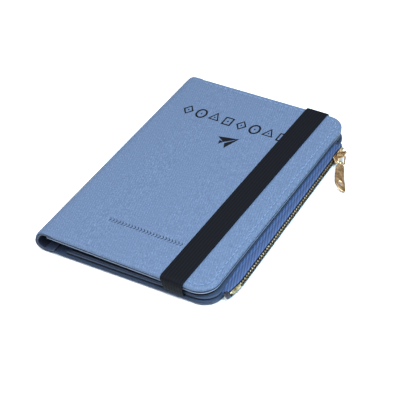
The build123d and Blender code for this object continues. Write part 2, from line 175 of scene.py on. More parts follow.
def sheet_with_edges(name, place, columns, length, half, corner, border, rim, materials,
                     rows=25, rim_material=None):
    """A sheet with rounded fore corners and its own edge section, closed all round.

    place(s, y, h) gives the point at s across the sheet, y along it and h below its outer face.
    columns are the values of s, up to where the fore corners start. rim(s) lists the edge section as
    (inset, depth) from the border's inner line on the outer face round to the inner face, and
    rim_material names the material index of each of its steps.
    """
    inner_r = corner - border
    turns = [(length - corner + inner_r * sin(a), a) for a in spread(0, pi / 2, 11)]
    stations = [(s, 0.0) for s in columns] + turns
    ends = [half - border - inner_r * (1 - cos(a)) for _, a in stations]
    border_path = [(i, 0) for i in range(len(stations))]
    border_path += [(len(stations) - 1, j) for j in range(1, rows)]
    border_path += [(i, rows - 1) for i in range(len(stations) - 2, -1, -1)]

    def at(i, j):
        return stations[i][0], ends[i] * (2 * j / (rows - 1) - 1)

    def outward(i, j):
        angle = stations[i][1]
        if 0 < j < rows - 1:
            return 1.0, 0.0
        return sin(angle), cos(angle) * (1 if j else -1)

    verts, faces, mats = [], [], []
    grids = []
    for face_index in (0, -1):
        grid = {}
        for i in range(len(stations)):
            for j in range(rows):
                s, y = at(i, j)
                grid[i, j] = len(verts)
                verts.append(place(s, y, rim(s)[face_index][1]))
        for i in range(len(stations) - 1):
            for j in range(rows - 1):
                faces.append([grid[i, j], grid[i + 1, j], grid[i + 1, j + 1], grid[i, j + 1]])
                mats.append(0 if face_index == 0 else (rim_material[-1] if rim_material else 0))
        grids.append(grid)
    loops = []
    for i, j in border_path:
        s, y = at(i, j)
        out_s, out_y = outward(i, j)
        section = rim(s)
        loop = [grids[0][i, j]]
        for inset, depth in section[1:-1]:
            reach = border - inset
            loop.append(len(verts))
            verts.append(place(s + out_s * reach, y + out_y * reach, depth))
        loop.append(grids[1][i, j])
        loops.append(loop)
    for a, b in zip(loops, loops[1:]):
        for k in range(len(a) - 1):
            faces.append([a[k], b[k], b[k + 1], a[k + 1]])
            mats.append(rim_material[k] if rim_material else 0)
    cap = [grids[0][0, j] for j in range(rows)] + loops[-1][1:-1]
    cap += [grids[1][0, j] for j in range(rows - 1, -1, -1)] + loops[0][-2:0:-1]
    faces.append(cap)
    mats.append(0)
    return make(name, verts, faces, materials, mats)


# ---- materials

STUDIO_GAIN = 1.55
LEATHER_ROUGHNESS = 0.5
BAND_SKEW_DEG = -0.95


def srgb(r, g, b):
    """Base colour that looks like an 8-bit screen colour when laid flat under the studio light."""
    return tuple(
        (v / 255 / 12.92 if v / 255 <= 0.04045 else ((v / 255 + 0.055) / 1.055) ** 2.4) / STUDIO_GAIN
        for v in (r, g, b)
    ) + (1.0,)


class Nodes:
    """A short way to write a node material."""

    def __init__(self, name, roughness, metallic=0.0, sheen=0.0, coat=0.0, specular=0.5):
        self.material = bpy.data.materials.new(name)
        self.material.use_nodes = True
        self.tree = self.material.node_tree
        self.shader = self.tree.nodes["Principled BSDF"]
        self.set("Roughness", roughness)
        self.set("Metallic", metallic)
        self.set("Sheen Weight", sheen)
        self.set("Coat Weight", coat)
        self.set("Specular IOR Level", specular)
        self.coords = self.add("ShaderNodeTexCoord").outputs["Object"]

    def set(self, socket, value):
        self.shader.inputs[socket].default_value = value

    def add(self, kind, **settings):
        node = self.tree.nodes.new(kind)
        for key, value in settings.items():
            setattr(node, key, value)
        return node

    def link(self, output, target):
        self.tree.links.new(output, target)

    def into(self, socket, output):
        self.link(output, self.shader.inputs[socket])

    def mapped(self, turn_deg, scale=(1, 1, 1)):
        """Object coordinates, scaled after turning about Z."""
        node = self.add("ShaderNodeMapping", vector_type="TEXTURE")
        node.inputs["Rotation"].default_value = (0, 0, radians(turn_deg))
        node.inputs["Scale"].default_value = [1 / s for s in scale]
        self.link(self.coords, node.inputs["Vector"])
        return node.outputs["Vector"]

    def noise(self, per_mm, detail=3.0, roughness=0.55, vector=None):
        node = self.add("ShaderNodeTexNoise")
        node.inputs["Scale"].default_value = per_mm / MM
        node.inputs["Detail"].default_value = detail
        node.inputs["Roughness"].default_value = roughness
        self.link(vector or self.coords, node.inputs["Vector"])
        return node.outputs["Fac"]

    def wave(self, pitch_mm, turn_deg, distortion, detail_scale=1.0):
        """Stripes of a pitch, turned about Z."""
        node = self.add("ShaderNodeTexWave", wave_type="BANDS", wave_profile="SIN", bands_direction="X")
        node.inputs["Scale"].default_value = pi / 10 / (pitch_mm * MM)
        node.inputs["Distortion"].default_value = distortion
        node.inputs["Detail"].default_value = 1.5
        node.inputs["Detail Scale"].default_value = detail_scale
        self.link(self.mapped(turn_deg), node.inputs["Vector"])
        return node.outputs["Fac"]

    def math(self, operation, a, b):
        node = self.add("ShaderNodeMath", operation=operation)
        for i, value in enumerate((a, b)):
            if isinstance(value, (int, float)):
                node.inputs[i].default_value = value
            else:
                self.link(value, node.inputs[i])
        return node.outputs["Value"]

    def ramp(self, fac, *stops):
        """stops are (position, colour)."""
        node = self.add("ShaderNodeValToRGB")
        elements = node.color_ramp.elements
        while len(elements) < len(stops):
            elements.new(0.5)
        for element, (position, colour) in zip(elements, stops):
            element.position = position
            element.color = colour
        self.link(fac, node.inputs["Fac"])
        return node.outputs["Color"]

    def mix(self, fac, a, b):
        node = self.add("ShaderNodeMix", data_type="RGBA")
        for socket, value in ((node.inputs[0], fac), (node.inputs[6], a), (node.inputs[7], b)):
            if isinstance(value, tuple):
                socket.default_value = value
            else:
                self.link(value, socket)
        return node.outputs[2]

    def to_range(self, fac, low, high):
        node = self.add("ShaderNodeMapRange")
        node.inputs["To Min"].default_value = low
        node.inputs["To Max"].default_value = high
        self.link(fac, node.inputs["Value"])
        return node.outputs["Result"]

    def bump(self, height, distance_mm, strength, below=None):
        node = self.add("ShaderNodeBump")
        node.inputs["Distance"].default_value = distance_mm * MM
        node.inputs["Strength"].default_value = strength
        self.link(height, node.inputs["Height"])
        if below is not None:
            self.link(below, node.inputs["Normal"])
        self.into("Normal", node.outputs["Normal"])
        return node.outputs["Normal"]


def saffiano(name, base, dark, light):
    """Leather embossed with a fine cross-hatch of short broken dashes, its colour darker in the hatch's low
    parts and lighter on its ridges: painted shade and painted highlight.
    """
    m = Nodes(name, LEATHER_ROUGHNESS, specular=0.2)
    strokes = []
    for angle, weight in ((15, 1.0), (-52, 0.8)):
        turned = m.mapped(angle, (3.4, 1.1, 1))
        strokes.append(m.math("MULTIPLY", m.noise(1.0, 2, 0.5, vector=turned), weight))
    hatch = m.math("MAXIMUM", *strokes)
    regular = m.wave(1.2, 15, 1.5, detail_scale=600)
    patches = m.noise(0.035, 2)
    height = m.math("ADD", m.math("MULTIPLY", hatch, 1.1), m.math("MULTIPLY", regular, 0.1))
    # Colour follows the emboss: painted shade in its low parts, painted highlight on its ridges.
    tone = m.ramp(height, (0.38, dark), (0.66, base), (1.0, light))
    m.into("Base Color", m.mix(m.to_range(patches, 0.0, 0.2), tone, base))
    m.into("Roughness", m.to_range(hatch, LEATHER_ROUGHNESS + 0.12, LEATHER_ROUGHNESS - 0.06))
    m.bump(m.noise(0.5, 2), 0.05, 0.5, below=m.bump(height, 0.12, 0.8))
    return m.material


def smooth_leather(name, base, dark):
    """Fine-grained inner leather."""
    m = Nodes(name, LEATHER_ROUGHNESS, specular=0.35)
    pebbles = m.add("ShaderNodeTexVoronoi", feature="SMOOTH_F1")
    pebbles.inputs["Scale"].default_value = 1.9 / MM
    m.link(m.coords, pebbles.inputs["Vector"])
    patches = m.noise(0.06, 3)
    tone = m.ramp(pebbles.outputs["Distance"], (0.0, base), (0.9, dark))
    m.into("Base Color", m.mix(m.to_range(patches, 0.0, 0.35), tone, dark))
    m.into("Roughness", m.to_range(patches, LEATHER_ROUGHNESS - 0.06, LEATHER_ROUGHNESS + 0.1))
    m.bump(pebbles.outputs["Distance"], -0.05, 0.6)
    return m.material


def painted_edge(name, base, worn):
    """Edge paint: smooth, a little uneven, rubbed lighter in places. Also used for a near-black film that is
    painted shade.
    """
    m = Nodes(name, 0.38, coat=0.15)
    wear = m.noise(0.22, 4, 0.65)
    m.into("Base Color", m.ramp(wear, (0.35, base), (0.75, worn)))
    m.into("Roughness", m.to_range(wear, 0.3, 0.55))
    m.bump(m.noise(1.1, 3), 0.05, 0.5)
    return m.material


def plain_weave(name, base, dark, pitch=0.35, roughness=0.85):
    """Cloth with warp and weft."""
    m = Nodes(name, roughness, specular=0.2)
    weave = m.math("MAXIMUM", m.wave(pitch, 0, 0.3), m.wave(pitch, 90, 0.3))
    shade = m.math("MULTIPLY", weave, m.to_range(m.noise(3.0, 4), 0.6, 1.2))
    m.into("Base Color", m.ramp(shade, (0.2, dark), (1.0, base)))
    m.bump(weave, 0.05, 0.6)
    return m.material


def elastic_weave(name, base, light):
    """Ribbed elastic: lengthwise ribs, crossed by fine picks, with a slight sheen."""
    m = Nodes(name, 0.65, specular=0.07)
    picks = m.wave(0.42, 90, 0.25)
    ribs = m.wave(1.5, BAND_SKEW_DEG, 0.15)
    weave = m.math("ADD", m.math("MULTIPLY", picks, 0.45), m.math("MULTIPLY", ribs, 0.55))
    shade = m.math("MULTIPLY", weave, m.to_range(m.noise(2.2, 4), 0.65, 1.15))
    m.into("Base Color", m.ramp(shade, (0.05, base), (1.0, light)))
    m.into("Roughness", m.to_range(weave, 0.7, 0.48))
    m.bump(shade, 0.06, 0.8)
    return m.material


def twill(name, base, dark, light):
    """Zip tape: fine diagonal ridges on a tight weave."""
    m = Nodes(name, 0.78, sheen=0.04, specular=0.12)
    diagonal = m.wave(1.3, 24, 0.5)
    fine = m.wave(0.3, 90, 0.2)
    weave = m.math("ADD", m.math("MULTIPLY", diagonal, 0.7), m.math("MULTIPLY", fine, 0.3))
    shade = m.math("MULTIPLY", weave, m.to_range(m.noise(2.4, 4), 0.7, 1.2))
    m.into("Base Color", m.ramp(shade, (0.05, dark), (0.5, base), (1.0, light)))
    m.bump(weave, 0.12, 0.9)
    return m.material


def gold(name, base, dark, roughness, relief):
    """Pale gold plating, softly uneven, with fine scratches and dull patches; the dull patches are rougher
    and darker, their dark colour a painted reflection.
    """
    m = Nodes(name, roughness, metallic=1.0)
    dull_and_painted_reflection = m.noise(0.45, 3, 0.6)
    scratches = m.noise(1.0, 3, 0.5, vector=m.mapped(20, (6, 0.6, 1)))
    # Dark patches in the colour are painted reflections; the same patches are rougher.
    m.into("Base Color", m.ramp(dull_and_painted_reflection, (0.38, dark), (0.6, base)))
    m.into("Roughness", m.to_range(dull_and_painted_reflection, roughness + 0.14, roughness - 0.03))
    cast = m.bump(m.noise(0.4, 1), relief, 0.9)
    m.bump(scratches, 0.012, 0.35, below=cast)
    return m.material


def ink(name, colour):
    """Print that lies in the grain, slightly broken by it."""
    m = Nodes(name, 0.5, specular=0.08)
    grain = m.noise(2.6, 4)
    worn = tuple(min(1, c * 2.2 + 0.004) for c in colour[:3]) + (1,)
    m.into("Base Color", m.ramp(grain, (0.3, colour), (0.85, worn)))
    m.bump(grain, 0.04, 0.6)
    return m.material


def thread(name, base, light):
    """Twisted sewing thread."""
    m = Nodes(name, 0.6, sheen=0.2)
    twist = m.wave(0.35, 45, 0.1)
    m.into("Base Color", m.ramp(twist, (0.0, base), (1.0, light)))
    m.bump(twist, 0.05, 0.6)
    return m.material


LEATHER = saffiano("cover_leather", srgb(103, 121, 150), srgb(80, 96, 124), srgb(140, 158, 190))
# Darker copy of the cover leather for the back cover's edge, which faces down: painted shade.
RIM_PAINTED_SHADE = smooth_leather("rim_leather_painted_shade", srgb(68, 85, 112), srgb(50, 64, 88))
# Near-black edge paint on the underside curl of the covers' edges. It is also darkened to stand for the shade
# in the gap below, so it is partly painted shade.
EDGE_PAINT_AND_SHADE = painted_edge("edge_paint_and_painted_shade", srgb(14, 20, 34), srgb(30, 42, 64))
HEM = smooth_leather("hem_leather", srgb(58, 74, 104), srgb(38, 52, 78))
ROLL_EDGE = smooth_leather("roll_edge", srgb(60, 76, 102), srgb(40, 52, 76))
# Near-black cloth for the roll lining's faces, darker than the lining itself: painted shade of the hollow
# roll.
ROLL_INSIDE_PAINTED_SHADE = plain_weave("roll_inside_painted_shade", srgb(34, 44, 64), srgb(18, 25, 40))
INNER = smooth_leather("inner_leather", srgb(84, 100, 126), srgb(62, 76, 100))
RAW_EDGE = painted_edge("raw_edge", srgb(112, 128, 154), srgb(140, 156, 180))
SLOT_LEATHER = smooth_leather("slot_leather", srgb(26, 34, 50), srgb(14, 20, 32))
POCKET = smooth_leather("pocket_leather", srgb(66, 83, 110), srgb(46, 60, 84))
BACK_CLOTH = plain_weave("back_cloth", srgb(62, 79, 106), srgb(40, 53, 77))
CLOTH = plain_weave("dark_cloth", srgb(24, 30, 42), srgb(10, 13, 20))
BOARD = plain_weave("stiffener", srgb(110, 102, 92), srgb(82, 76, 68), 0.6, 0.9)
ELASTIC = elastic_weave("elastic", srgb(10, 11, 15), srgb(24, 26, 32))
SELVEDGE = elastic_weave("elastic_selvedge", srgb(4, 5, 9), srgb(24, 27, 34))
TAPE = twill("zip_tape", srgb(76, 98, 142), srgb(57, 76, 117), srgb(98, 121, 165))
# Dark navy for the tapes' beaded edges, darker than the tape: painted shade in the gaps by the teeth.
BEAD_PAINTED_SHADE = twill("tape_bead_painted_shade", srgb(30, 38, 56), srgb(10, 13, 20), srgb(52, 66, 92))
# Near-black purple for the film at the tape's foot end, standing for the shade inside the lip's open end:
# painted shade.
FILM_PAINTED_SHADE = painted_edge("tape_film", srgb(10, 6, 16), srgb(34, 24, 46))
GOLD = gold("gold_plate", srgb(244, 210, 162), srgb(170, 134, 92), 0.2, 0.2)
TEETH_GOLD = gold("tooth_gold", srgb(238, 222, 188), srgb(184, 166, 128), 0.24, 0.1)
# Darker copy of the tooth gold for the lower row of teeth: painted shade.
TEETH_PAINTED_SHADE = gold("tooth_gold_painted_shade", srgb(146, 130, 96), srgb(82, 70, 48), 0.26, 0.1)
STOP_METAL = gold("stop_metal", srgb(214, 200, 156), srgb(122, 110, 78), 0.26, 0.1)
INK = ink("print_ink", srgb(6, 8, 13))
THREAD = thread("stitch_thread", srgb(106, 131, 172), srgb(138, 163, 203))


# ---- outer leather

def roll_swell(angle):
    """The roll bulges beyond a half circle on its lower side."""
    return 1.4 * MM * exp(-((angle - radians(208)) / radians(33)) ** 2)


def fuller_corner(x, y):
    """How far the back cover's near fore corner stands out beyond the front cover's."""
    return 1.9 * MM * smoothstep((x - 22 * MM) / (26 * MM)) * smoothstep((-40 * MM - y) / (28 * MM))


def back_place(s, y, h):
    """s runs from the middle of the roll, under it and along the back cover; h goes up into it."""
    if s < BACK_ARC:
        angle = pi + s / ROLL_R
        r = ROLL_R - h + roll_swell(angle)
        return Vector((ROLL_X + r * cos(angle), y, ROLL_R + r * sin(angle)))
    x = ROLL_X + s - BACK_ARC
    x += fuller_corner(x, y)
    ease = smoothstep(1 - abs(x - ROLL_X - 3.6 * MM) / (3.0 * MM))
    wave = 0.5 + 0.5 * noise.noise(Vector((x, y, 0)) / (26 * MM))
    return Vector((x, y, h + 0.35 * MM * ease + 0.04 * MM * wave))


def front_place(s, y, h):
    """s runs from the middle of the roll, over it and along the front cover; h goes down into it."""
    if s < FRONT_ARC:
        angle = pi - s / ROLL_R
        r = ROLL_R - h + roll_swell(angle)
        return Vector((ROLL_X + r * cos(angle), y, ROLL_R + r * sin(angle)))
    run = s - FRONT_ARC
    soft = min(1.0, run / (12 * MM))
    wave = 0.09 * MM * soft * noise.noise(Vector((run, y, 5 * MM)) / (24 * MM))
    depth = ROLL_R - h + min(0.0, wave)
    return Vector((
        ROLL_X + depth * sin(TILT) + run * cos(TILT), y, ROLL_R + depth * cos(TILT) - run * sin(TILT),
    ))


WRAP_BORDER = 6.0 * MM
HEM_WIDTH = 3.0 * MM
ROLL_SKIN = SKIN * 1.06


def wrapped_rim(full, panel_start, groove):
    """Edge section of a cover: sewn groove, rounded edge, rim with edge paint that is partly painted shade,
    hem and inner face.
    """
    def rim(s):
        flat = smoothstep((s - panel_start) / (1.2 * MM) + 0.5)
        deep = ROLL_SKIN + (full - ROLL_SKIN) * flat
        sewn = groove * flat
        top = [(WRAP_BORDER / MM, 0), (4.3, 0), (3.75, 0.3), (3.35, 0.85),
               (3.1, 1), (2.85, 0.85), (2.45, 0.25), (1.9, 0)]
        points = [(inset * MM, depth * sewn) for inset, depth in top]
        edge = [(1.25, 0.03), (0.75, 0.11), (0.34, 0.25), (0.08, 0.42),
                (0.0, 0.6), (0.08, 0.78), (0.4, 0.92), (1.0, 1)]
        points += [(inset * MM, share * deep) for inset, share in edge]
        return points + [(HEM_WIDTH, deep), (HEM_WIDTH, SKIN), (WRAP_BORDER, SKIN)]
    return rim


# Material index of each edge step: 0 cover leather, 1 rim leather (painted shade on the back cover), 2 edge
# paint (partly painted shade), 3 hem.
RIM_STEPS = [0] * 10 + [1] * 3 + [2] * 2 + [3] * 3
FOLD_COLUMNS = (1, 2, 2.8, 3.4, 3.9, 4.5, 5.5, 7, 10)


def outer_leather():
    """The wrapped skin, in two pieces that meet at the middle of the roll."""
    pieces = []
    for name, place, arc, run, wrap, groove, rim, nodes in (
        # The back cover's edge takes the darker rim leather, a painted shade; the front cover's edge keeps
        # the cover leather.
        ("cover_leather_lower", back_place, BACK_ARC, FORE - ROLL_X, BACK_WRAP, 0.12 * MM, RIM_PAINTED_SHADE,
         ["back_skin", "spine_skin"]),
        ("cover_leather_upper", front_place, FRONT_ARC, FRONT_LENGTH, FRONT_WRAP, 0.15 * MM, LEATHER,
         ["front_skin"]),
    ):
        columns = spread(0, arc, 17) + [arc + v * MM for v in FOLD_COLUMNS]
        columns += spread(arc + 15 * MM, arc + run - CORNER - 3 * MM, 12)
        piece = sheet_with_edges(
            name, place, columns, arc + run, HALF, CORNER, WRAP_BORDER,
            wrapped_rim(wrap, arc + PANEL_X - ROLL_X, groove), [LEATHER, rim, EDGE_PAINT_AND_SHADE, HEM],
            rows=33, rim_material=RIM_STEPS,
        )
        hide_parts(*nodes)
        pieces.append(piece)
    blend_over_roll(*pieces)


def blend_over_roll(lower, upper):
    """Bakes the placement of both halves into their meshes."""
    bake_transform(lower)
    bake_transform(upper)


# ---- inner layers

THIN_BORDER = 2.5 * MM


def thin_rim(thick):
    """Edge section of a plain sheet, its edges rounded."""
    def rim(s):
        half = [(THIN_BORDER, 0), (0.35 * MM, 0), (0.1125 * MM, 0.1), (0.05 * MM, 0.3)]
        back = [(0.05 * MM, 0.72), (0.1125 * MM, 0.92), (0.35 * MM, 1), (THIN_BORDER, 1)]
        return [(inset, share * thick) for inset, share in half + [(0, 0.5)] + back]
    return rim


def lined_roll():
    """Lining inside the roll, in two pieces that meet at its middle. Its faces are near black, a painted
    shade of the hollow roll, except on the lower piece towards the back cover and along the head and foot
    edges.
    """
    thick, end_gap, end_soft = 1.1 * MM, 0.15 * MM, 0.4 * MM
    pieces = []
    for name, place, arc, nodes in (
        ("roll_lining_lower", back_place, BACK_ARC, ["gutter_lining_back", "spine_lining"]),
        ("roll_lining_upper", front_place, FRONT_ARC, ["gutter_lining_front"]),
    ):
        stations = spread(0, arc, 15) + spread(arc + 1 * MM, arc + PANEL_X - ROLL_X, 5)
        verts, faces, mats = [], [], []
        ys = [end_gap - HALF, *spread(end_soft - HALF, HALF - end_soft, 15), HALF - end_gap]
        rows = [(ys[0], 0.1, 0.85)] + [(y, 0.0, 1.0) for y in ys[1:-1]] + [(ys[-1], 0.1, 0.85)]
        for s in stations:
            for y, low, high in rows:
                verts.append(place(s, y, SKIN + thick * (0.02 + 0.96 * low)))
                verts.append(place(s, y, SKIN + thick * (0.02 + 0.96 * high)))
        wide = len(rows) * 2
        for i in range(len(stations) - 1):
            for j in range(len(rows) - 1):
                for side in (0, 1):
                    a = i * wide + j * 2 + side
                    faces.append([a, a + wide, a + wide + 2, a + 2])
                    # Dark faces are painted shade; the lower piece's part towards the back cover and the edge
                    # rows keep the lining's colour.
                    outside_painted_shade = place is back_place and stations[i] > 0.72 * arc
                    mats.append(1 if outside_painted_shade or j in (0, len(rows) - 2) else 0)
            for end in (0, len(rows) - 1):
                a = i * wide + end * 2
                faces.append([a, a + 1, a + wide + 1, a + wide])
                mats.append(1)
        for i in (0, len(stations) - 1):
            for j in range(len(rows) - 1):
                a = i * wide + j * 2
                faces.append([a, a + 2, a + 3, a + 1])
                mats.append(0)
        piece = make(name, verts, faces, [ROLL_INSIDE_PAINTED_SHADE, ROLL_EDGE], mats)
        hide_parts(*nodes)
        pieces.append(piece)
    blend_over_roll(*pieces)


def tilted(x, y, z):
    """A level front cover point, laid down to the closed slope."""
    dx, dz = x - ROLL_X, z - ROLL_R
    return Vector((
        ROLL_X + dx * cos(TILT) + dz * sin(TILT), y, ROLL_R - dx * sin(TILT) + dz * cos(TILT),
    ))


LAYER_STEPS = [0] * 2 + [1] * 4 + [0] * 2


def layer(name, node, x_low, x_high, half, top, thick, materials, slot, front=False, y_high=None):
    """One flat inner layer with soft edges, in place of its CAD node. y_high cuts it short of the head."""
    middle = 0.0 if y_high is None else (y_high - half) / 2
    span = half if y_high is None else (y_high + half) / 2
    corner = CORNER - (HALF - half)

    def place(s, y, h):
        x, z = x_low + s, top - h
        sway = 0.06 * MM * noise.noise(Vector((x, y + middle, top)) / (21 * MM))
        if front:
            return tilted(x, y + middle, z + sway)
        return Vector((x + fuller_corner(x, y + middle), y + middle, z + sway))

    length = x_high - x_low
    columns = spread(0, length - corner - 1 * MM, 14)
    piece = sheet_with_edges(
        name, place, columns, length, span, max(corner, 2.6 * MM), THIN_BORDER, thin_rim(thick), materials,
        rim_material=LAYER_STEPS if len(materials) > 1 else None,
    )
    attach(piece, "front_cover" if front else "back_cover", slot, node)


def inner_layers():
    front_x = ROLL_X + FRONT_LENGTH
    top = SPINE_TOP - FRONT_WRAP - 0.3 * MM
    layer("front_inner_panel", "front_lining", -41 * MM, front_x - 0.15 * MM, HALF - 0.15 * MM,
          top - 0.1 * MM, 0.68 * MM, [INNER, RAW_EDGE], "inner_leather", front=True)
    first_slot, slot_step = top - 0.82 * MM, 0.3 * MM
    for k, y_high in enumerate((25 * MM, 5 * MM, -15 * MM)):
        level_top = first_slot - k * slot_step
        layer(f"card_slot_sheet_{k + 1}", f"card_slot_{k + 1}", PANEL_X + 1.5 * MM, front_x - 1.5 * MM,
              HALF - 1.2 * MM, level_top, 0.26 * MM, [INNER, SLOT_LEATHER], "inner_leather",
              front=True, y_high=y_high)
    layer("back_inner_cloth", "back_lining", PANEL_X + 0.5 * MM, FORE - 0.1 * MM, HALF - 0.1 * MM,
          BACK_LINING[1].z, BACK_LINING[1].z - BACK_WRAP - 0.02 * MM, [BACK_CLOTH], "back_cloth")
    layer("pocket_front", "pocket_panel", POCKET_PANEL[0].x, POCKET_PANEL[1].x - 0.2 * MM,
          POCKET_PANEL[1].y - 0.2 * MM, POCKET_PANEL[1].z, 0.78 * MM, [POCKET], "inner_leather")


def sleeve():
    """The passport sleeve, open on its spine side, its mouth a little sprung."""
    low, high = SLEEVE
    length = high.x - low.x

    def place(s, y, h):
        rise = (high.z - low.z - 0.5 * MM) * (1 - s / length)
        sway = 0.12 * MM * (1 - s / length) * noise.noise(Vector((s, y, 0)) / (30 * MM))
        return Vector((low.x + s, y, low.z + 0.5 * MM + rise - h + sway))

    piece = sheet_with_edges(
        "passport_sleeve_sheet", place, spread(0, length - CORNER - 1 * MM, 14), length, high.y,
        CORNER - (HALF - high.y), THIN_BORDER, thin_rim(0.46 * MM), [SLOT_LEATHER, POCKET],
        rim_material=LAYER_STEPS,
    )
    attach(piece, "back_cover", "inner_leather", "passport_sleeve")


# ---- stitching

def capsules(name, places, length, width, height, material, body, slot):
    """A row of stitches. Each place is (centre, direction along, normal)."""
    verts, faces = [], []
    rings = [(-0.5, 0.35), (-0.42, 0.8), (-0.25, 1.0), (0.0, 1.06), (0.25, 1.0), (0.42, 0.8), (0.5, 0.35)]
    around = 8
    for centre, along, normal in places:
        side = along.cross(normal)
        first = len(verts)
        for share, size in rings:
            for k in range(around):
                a = 2 * pi * k / around
                offset = side * (width / 2 * size * cos(a)) + normal * (height * size * sin(a))
                verts.append(centre + along * (length * share) + offset)
        faces += ring_faces(first, len(rings), around)
        last = first + (len(rings) - 1) * around
        faces += [[first + k for k in range(around)], [last + k for k in range(around)][::-1]]
    attach(make(name, verts, faces, [material]), body, slot)


def edge_route(length, half, corner, inset, step, foot_from):
    """Points and directions every step along a line inset from the foot, fore and head edges."""
    r = corner - inset
    turn_x, turn_y = length - corner, half - corner

    def arc(start, side):
        def at(t):
            a = start + t / r
            return (turn_x + r * cos(a), side * turn_y + r * sin(a)), (-sin(a), cos(a))
        return at

    legs = [
        (turn_x - foot_from, lambda t: ((foot_from + t, inset - half), (1, 0))),
        (r * pi / 2, arc(-pi / 2, -1)),
        (2 * turn_y, lambda t: ((length - inset, t - turn_y), (0, 1))),
        (r * pi / 2, arc(0, 1)),
        (turn_x - 4 * MM, lambda t: ((turn_x - t, half - inset), (-1, 0))),
    ]
    for k in range(int(sum(run for run, _ in legs) / step)):
        t = (k + 0.5) * step
        for run, at in legs:
            if t < run:
                yield at(t)
                break
            t -= run


STITCH_INSET, STITCH_STEP, STITCH_LENGTH = 3.1 * MM, 3.0 * MM, 1.9 * MM


def cover_stitches():
    """Run of stitches round the front cover, sunk in its sewn groove."""
    places = []
    normal = Vector((sin(TILT), 0, cos(TILT)))
    band_side = BAND[0].x - ROLL_X + 3 * MM
    route = edge_route(FRONT_LENGTH, HALF, CORNER, STITCH_INSET, STITCH_STEP, band_side)
    for (s, y), (ds, dy) in route:
        centre = front_place(FRONT_ARC + s, y, 0.06 * MM)
        along = Vector((ds * cos(TILT), dy, -ds * sin(TILT)))
        slant = (along + along.cross(normal) * 0.12).normalized()
        places.append((centre, slant, normal))
    capsules("cover_stitching", places, STITCH_LENGTH, 0.36 * MM, 0.13 * MM, THREAD,
             "front_cover", "cover_leather")


# ---- elastic band

def elastic_band():
    """Ribbed band over the front cover, its legs tucked in at the head and the foot."""
    skew = radians(BAND_SKEW_DEG)
    band_x = (TAIL_HEAD[0].x + TAIL_HEAD[1].x + TAIL_FOOT[0].x + TAIL_FOOT[1].x) / 4
    width, thick, selvedge = 12.0 * MM, 0.75 * MM, 1.3 * MM
    leg_narrowing, leg_shift = 0.13, 0.7 * MM
    leg_z = TAIL_HEAD[0].z + thick / 2
    top_z = SPINE_TOP + 0.12 * MM + thick / 2
    lie = (band_x - ROLL_X) * sin(TILT)
    crest = top_z - lie
    out = HALF + 0.3 * MM + thick / 2
    leg = catmull([
        (HALF - 8 * MM, leg_z), (HALF - 4 * MM, leg_z), (HALF - 2.0 * MM, leg_z + 0.1 * MM),
        (out - 0.95 * MM, leg_z + 0.5 * MM), (out - 0.2 * MM, leg_z + 1.7 * MM),
        (out, (leg_z + crest) / 2 + 0.6 * MM), (out - 0.1 * MM, crest - 1.7 * MM),
        (out - 0.65 * MM, crest - 0.6 * MM), (out - 2.0 * MM, crest - 0.03 * MM), (HALF - 6 * MM, crest),
    ], 5)
    flat = [Vector((y, crest)) for y in spread(HALF - 7.5 * MM, 0.0, 42)]
    across = []
    ribs = 17
    for k in range(ribs * 4 + 1):
        u = k / (ribs * 4)
        edge = min(u, 1 - u) * width
        crown = 1.0 if edge > selvedge else 0.82 + 0.18 * abs(cos(pi * edge / selvedge))
        rib = 1 - 0.1 * (0.5 - 0.5 * cos(2 * pi * u * ribs))
        end = sqrt(max(0.0, 1 - max(0.0, 1 - edge / (0.3 * MM)) ** 2))
        across.append((u - 0.5, 0.5 * crown * rib * (0.35 + 0.65 * end)))
    for end, sign in (("foot", -1), ("head", 1)):
        route = [Vector((sign * p.x, p.y)) for p in leg + flat]
        verts = []
        ring = 2 * len(across)
        for i, p in enumerate(route):
            along = heading(route, i)
            normal = Vector((-along.y, along.x))
            drop = smoothstep((crest - p.y) / (6.5 * MM))
            narrow = 1.0 - leg_narrowing * drop
            for side, order in ((1, across), (-1, across[::-1])):
                for u, h in order:
                    w = u * width * narrow
                    y, z = p.x + normal.x * h * side * thick, p.y + normal.y * h * side * thick
                    tilt_drop = -w * sin(TILT) * smoothstep((z - leg_z) / (5 * MM))
                    x = band_x + w * cos(skew) - y * sin(skew) + leg_shift * drop
                    verts.append(Vector((x, y * cos(skew) + w * sin(skew), z + tilt_drop)))
        ring_mats = [1 if abs(across[min(k, ring - 1 - k)][0]) > 0.44 else 0 for k in range(ring)]
        faces = ring_faces(0, len(route), ring) + [list(range(ring))]
        mats = ring_mats * (len(route) - 1) + [0]
        piece = make(f"elastic_strap_{end}", verts, faces, [ELASTIC, SELVEDGE], mats)
        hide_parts(f"band_tail_{end}", *(["elastic_band"] if sign > 0 else []))
        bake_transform(piece)


# ---- zip

CHAIN_FACE = radians(25)
CHAIN_N = Vector((cos(CHAIN_FACE), 0, sin(CHAIN_FACE)))
CHAIN_A = Vector((-sin(CHAIN_FACE), 0, cos(CHAIN_FACE)))
FOOT_END = (BOTTOM_STOP[0] + BOTTOM_STOP[1]) / 2
HEAD_END = sum((a + b for a, b in TOP_STOPS), Vector()) / 4
SKEW_SLOPE = (HEAD_END.x - FOOT_END.x) / (HEAD_END.y - FOOT_END.y)
TOOTH_PITCH = 1.8 * MM
TOOTH_HALF = 0.31 * MM
TEETH_Y = (-52.9 * MM, 49.0 * MM)
TAPE_THICK = 0.5 * MM
TAPE_INNER_X = 44 * MM
BEAD_SHADE_FROM = 0.76
FOLD_X, FOLD_Z = 48.9 * MM, TAPE_ROOT[1].z - TAPE_THICK / 2


def bow(y):
    """The sewn chain curves in beyond both ends of the slider's run."""
    foot = max(0.0, (-51.4 * MM - y) / (8.6 * MM))
    head = max(0.0, (y - 52.5 * MM) / (4 * MM))
    return -1.3 * MM * foot ** 1.5 - 0.5 * MM * head ** 1.5


